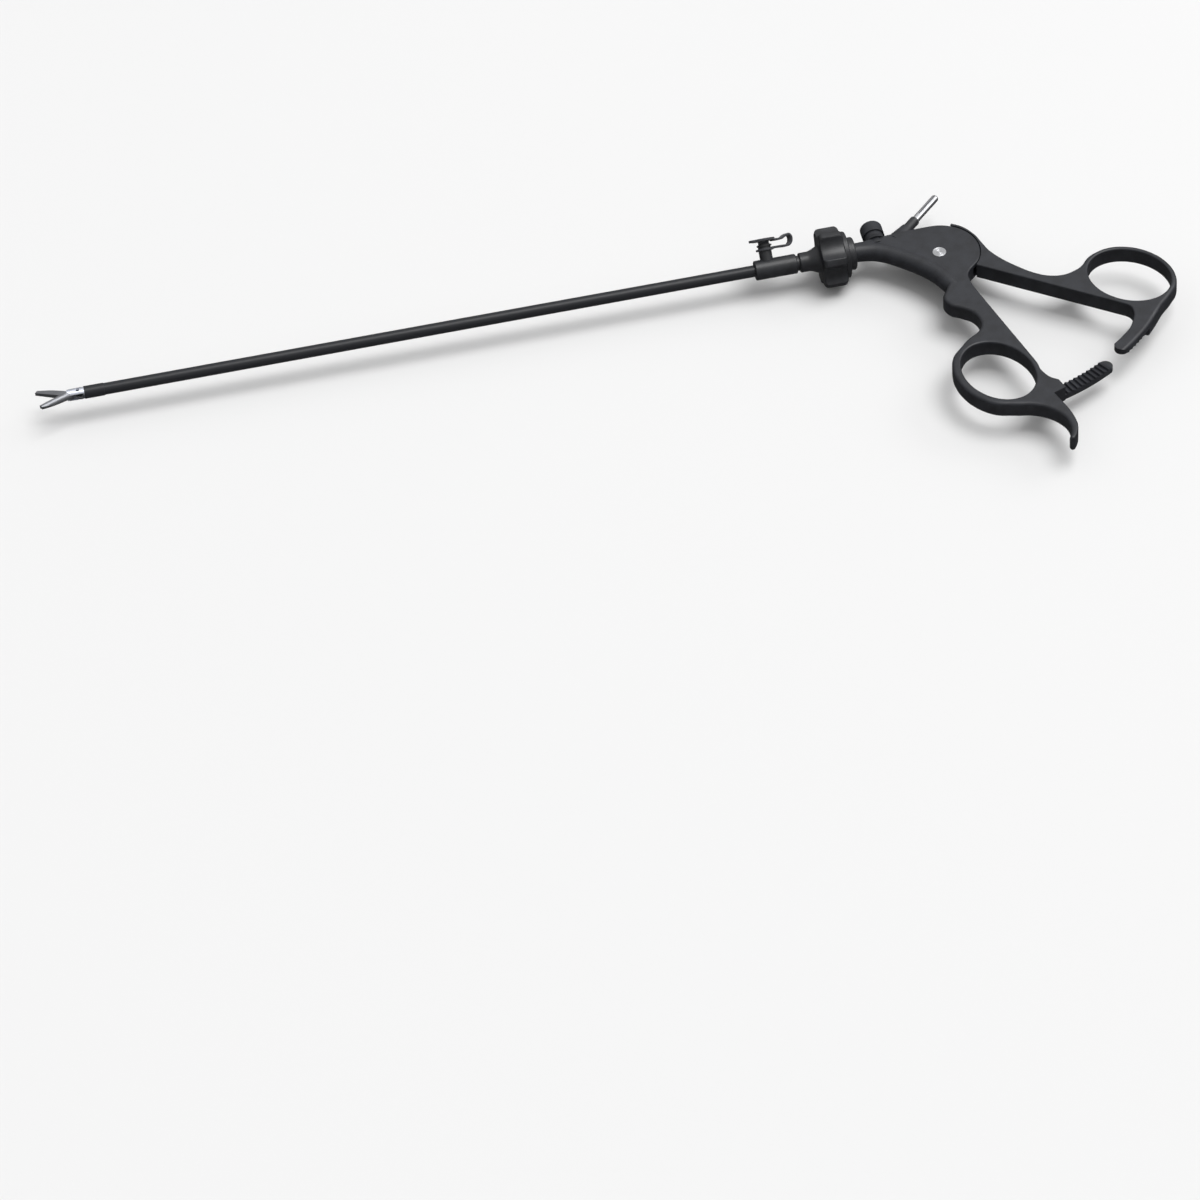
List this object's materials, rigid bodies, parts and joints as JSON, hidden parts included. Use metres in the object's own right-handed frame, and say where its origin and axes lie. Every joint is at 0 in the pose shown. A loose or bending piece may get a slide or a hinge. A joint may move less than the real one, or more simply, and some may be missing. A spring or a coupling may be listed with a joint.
{
  "type": "laparoscopic scissors",
  "caption": "Insulated keyhole-surgery scissors: ring handles drive a pull rod through a long turning shaft to a pair of pivoting blades at its tip.",
  "frame": {"origin": "on the shaft's axis, at the front face of the flushing hub, where the insulated sheath leaves it", "axes": "-X along the shaft to the jaws, +X to the handles, -Y towards the finger rings, +Z square to the flat handles"},
  "size_m": [0.4764, 0.163, 0.0258],
  "materials": {
    "black_plastic": "matt, finely textured",
    "black_insulation": "smooth satin shrink sleeve",
    "grey_silicone": "matt moulded silicone",
    "brushed_steel": "turned and brushed",
    "blade_steel": "ground, darker, brushed lengthwise",
    "bright_steel": "polished",
    "seal_rubber": "plain moulded",
    "bearing_plastic": "plain",
    "brass_contact": "plain"
  },
  "bodies": {
    "handle": {"finger_handle": "black_plastic", "neck_bearing": "bearing_plastic", "pivot_screw": "brushed_steel", "pivot_nut": "brushed_steel", "contact_sleeve": "black_plastic", "contact_pin": "bright_steel", "contact_brush": "brass_contact"},
    "thumb_lever": {"thumb_handle": "black_plastic", "drive_lever": "brushed_steel"},
    "shaft": {"rotation_wheel": "black_plastic", "wheel_back_plate": "black_plastic", "retaining_collar": "black_plastic", "coupling_shank": "brushed_steel", "hub_spigot": "brushed_steel", "luer_hub": "black_plastic", "hub_seal": "seal_rubber", "luer_port": "black_plastic", "cap_strap": "grey_silicone", "insulation_sleeve": "black_insulation", "sheath_tube": "brushed_steel", "sheath_tip_collar": "black_insulation", "insert_tube": "brushed_steel", "rod_seal": "seal_rubber", "jaw_clevis": "brushed_steel", "jaw_pin": "brushed_steel"},
    "rod": {"pull_rod": "brushed_steel", "drive_pin": "brushed_steel"},
    "near_blade": {"blade_near": "blade_steel"},
    "far_blade": {"blade_far": "blade_steel"},
    "release": {"release_button": "black_plastic", "latch_yoke": "brushed_steel", "release_spring": "brushed_steel"},
    "cap": {"port_cap": "grey_silicone"}
  },
  "joints": [
    {"name": "thumb_hinge", "type": "hinge", "parent": "handle", "child": "thumb_lever", "pos_m": [0.0771, -0.013, 0], "axis": [0, 0, -1], "range_deg": [0, 14]},
    {"name": "shaft_turn", "type": "hinge", "parent": "handle", "child": "shaft", "pos_m": [0.0435, 0, 0], "axis": [1, 0, 0], "continuous": true},
    {"name": "rod_slide", "type": "slide", "parent": "shaft", "child": "rod", "axis": [1, 0, 0], "range_m": [0, 0.00319]},
    {"name": "near_blade_hinge", "type": "hinge", "parent": "shaft", "child": "near_blade", "pos_m": [-0.293, 0, 0], "axis": [0, 0, -1], "range_deg": [0, 22.01]},
    {"name": "far_blade_hinge", "type": "hinge", "parent": "shaft", "child": "far_blade", "pos_m": [-0.293, 0, 0], "axis": [0, 0, 1], "range_deg": [0, 22.01]},
    {"name": "button_slide", "type": "slide", "parent": "handle", "child": "release", "axis": [0, -1, 0], "range_m": [0, 0.0009], "stiffness_N_per_m": 600, "springref_m": -0.002, "deforming": ["release_spring"]},
    {"name": "cap_slide", "type": "slide", "parent": "shaft", "child": "cap", "axis": [0, 0.7071, 0.7071], "range_m": [0, 0.005], "deforming": ["cap_strap"]}
  ],
  "couplings": [
    {"joint": "rod_slide", "follows": "thumb_hinge", "m_per_rad": 0.013065},
    {"joint": "near_blade_hinge", "follows": "thumb_hinge", "ratio": 1.5714},
    {"joint": "far_blade_hinge", "follows": "thumb_hinge", "ratio": 1.5714}
  ]
}
